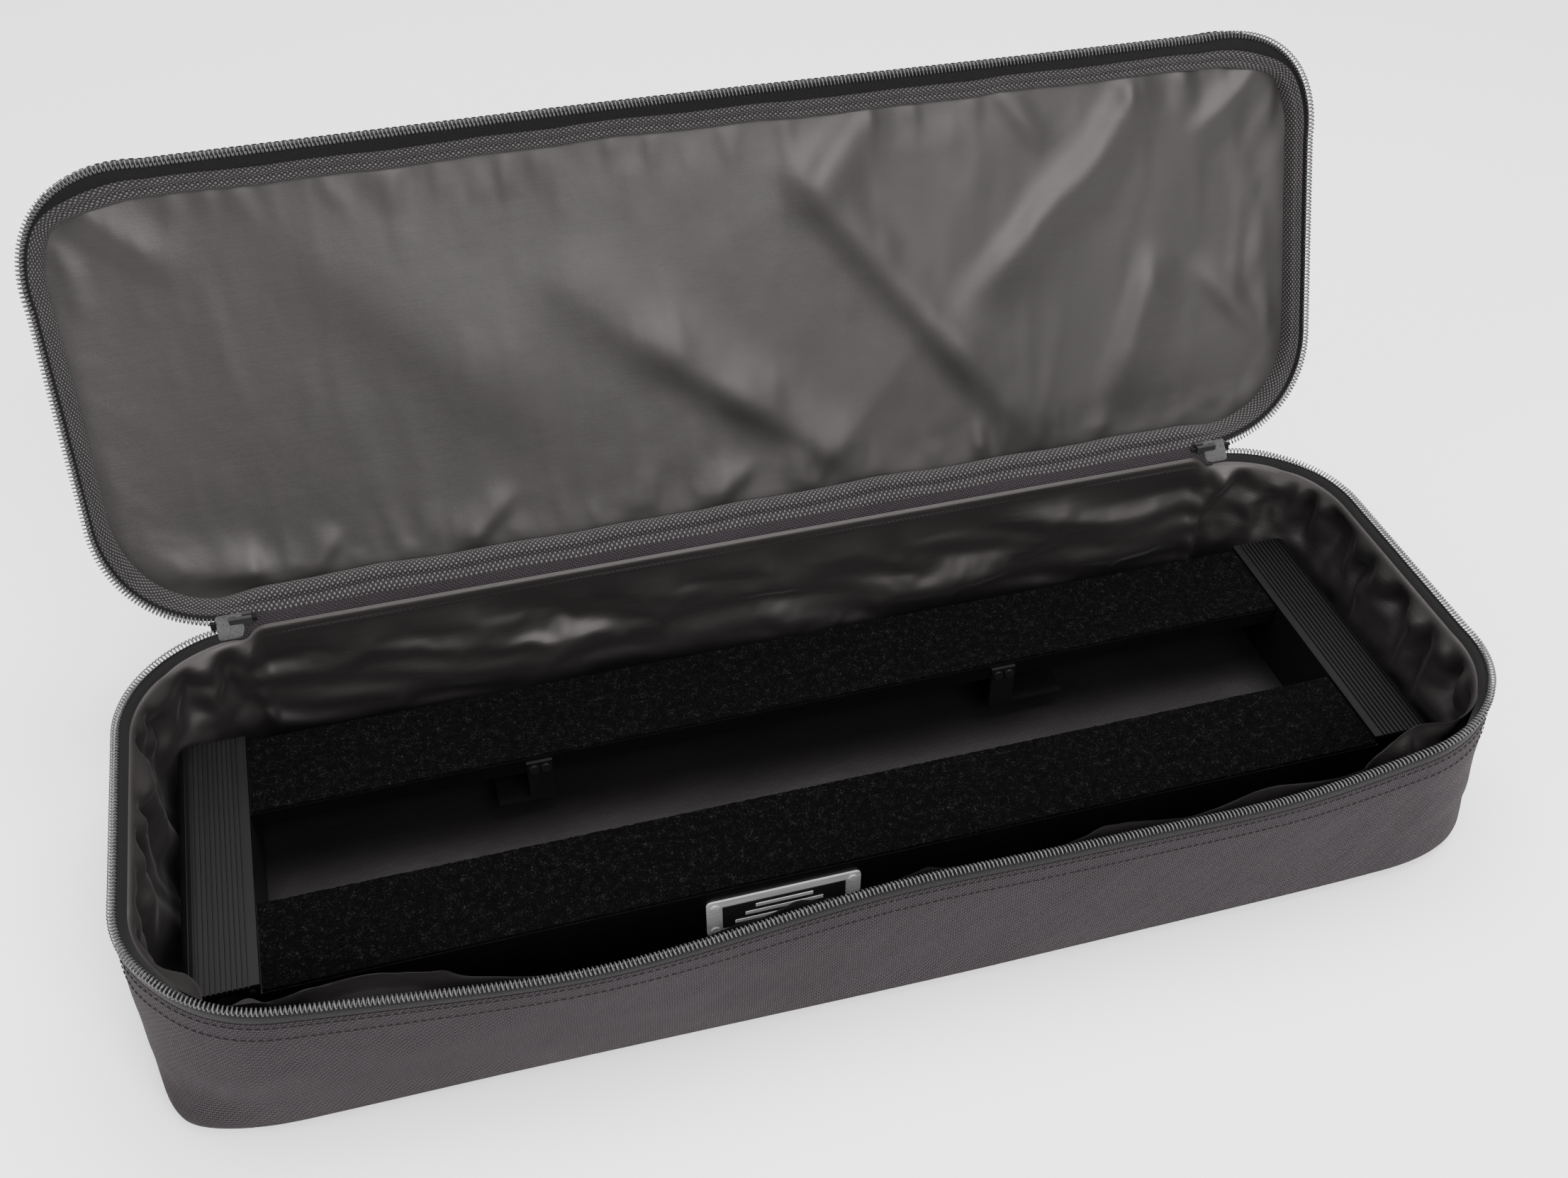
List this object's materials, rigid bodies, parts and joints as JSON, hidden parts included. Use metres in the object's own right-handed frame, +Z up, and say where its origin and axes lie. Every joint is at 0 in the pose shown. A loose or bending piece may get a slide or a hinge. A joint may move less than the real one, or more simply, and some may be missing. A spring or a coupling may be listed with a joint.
{
  "type": "pedalboard in padded zip bag",
  "caption": "Flat two-rail pedalboard with soft loop strips and ribbed side profiles, lying in a padded carry bag whose zipped lid swings open.",
  "frame": {"origin": "centre of the bag's flat underside", "axes": "+X to the right along the bag's length, +Y to the hinge side at the back, +Z up"},
  "size_m": [0.65, 0.3309, 0.3086],
  "materials": {
    "bag_twill": "coarse woven polyester, matt",
    "bag_foam": "closed-cell padding, hidden between shell and liner",
    "stiffener": "stiffening sheet, hidden between shell and padding",
    "bag_liner": "thin smooth lining cloth with a satin sheen",
    "zip_tape": "fine knitted zip tape",
    "zip_coil": "nylon coil teeth",
    "woven_binding": "ribbed binding tape with a diamond weave",
    "end_tab_cloth": "brushed tape folded over the zip's end",
    "webbing": "flat woven webbing",
    "slider_metal": "black enamelled zinc",
    "profile_anodised": "black anodised, satin",
    "rail_anodised": "black anodised, satin",
    "loop_pile": "black looped pile of a hook-and-loop tape",
    "bracket_paint": "black powder coat",
    "screw_steel": "black oxide",
    "foot_rubber": "black rubber",
    "badge_metal": "brushed, with a dark recessed panel",
    "rivet_metal": "domed"
  },
  "bodies": {
    "bag_base": {"base_shell": "bag_twill", "base_wall_foam": "bag_foam", "base_floor_board": "stiffener", "base_floor_foam": "bag_foam", "base_liner": "bag_liner", "base_zip_tape": "zip_tape", "base_zip_coil": "zip_coil", "base_hinge_strip": "zip_tape", "base_binding": "woven_binding", "end_tab_left": "end_tab_cloth", "end_tab_right": "end_tab_cloth", "zip_end_chain": "zip_coil"},
    "lid": {"lid_shell": "bag_twill", "lid_wall_foam": "bag_foam", "lid_board": "stiffener", "lid_foam": "bag_foam", "lid_liner": "bag_liner", "lid_binding": "woven_binding", "lid_zip_tape": "zip_tape", "lid_zip_coil": "zip_coil", "lid_hinge_strip": "zip_tape", "carry_handle": "webbing"},
    "slider_right": {"slider_right": "slider_metal"},
    "slider_left": {"slider_left": "slider_metal"},
    "pull_right": {"pull_right": "slider_metal"},
    "pull_left": {"pull_left": "slider_metal"},
    "board": {"profile_left": "profile_anodised", "profile_right": "profile_anodised", "front_rail": "rail_anodised", "rear_rail": "rail_anodised", "front_loop_strip": "loop_pile", "rear_loop_strip": "loop_pile", "bracket_left": "bracket_paint", "bracket_right": "bracket_paint", "rail_screws": "screw_steel", "bracket_screws": "screw_steel", "rubber_feet": "foot_rubber", "badge_plate": "badge_metal", "badge_rivets": "rivet_metal"}
  },
  "joints": [
    {"name": "lid_hinge", "type": "hinge", "parent": "bag_base", "child": "lid", "pos_m": [0, 0.115, 0.0927], "axis": [-1, 0, 0], "range_deg": [-110, 45]},
    {"name": "board_lift", "type": "slide", "parent": "bag_base", "child": "board", "axis": [0, 0, 1], "range_m": [0, 0.15]},
    {"name": "slider_right_travel", "type": "slide", "parent": "bag_base", "child": "slider_right", "axis": [1, 0, 0], "range_m": [0, 0.006]},
    {"name": "slider_left_travel", "type": "slide", "parent": "bag_base", "child": "slider_left", "axis": [-1, 0, 0], "range_m": [0, 0.006]},
    {"name": "pull_right_swing", "type": "hinge", "parent": "slider_right", "child": "pull_right", "pos_m": [0.264, 0.1196, 0.0927], "axis": [-1, 0, 0], "range_deg": [-50, 0]},
    {"name": "pull_left_swing", "type": "hinge", "parent": "slider_left", "child": "pull_left", "pos_m": [-0.264, 0.1196, 0.0927], "axis": [-1, 0, 0], "range_deg": [-50, 0]}
  ]
}
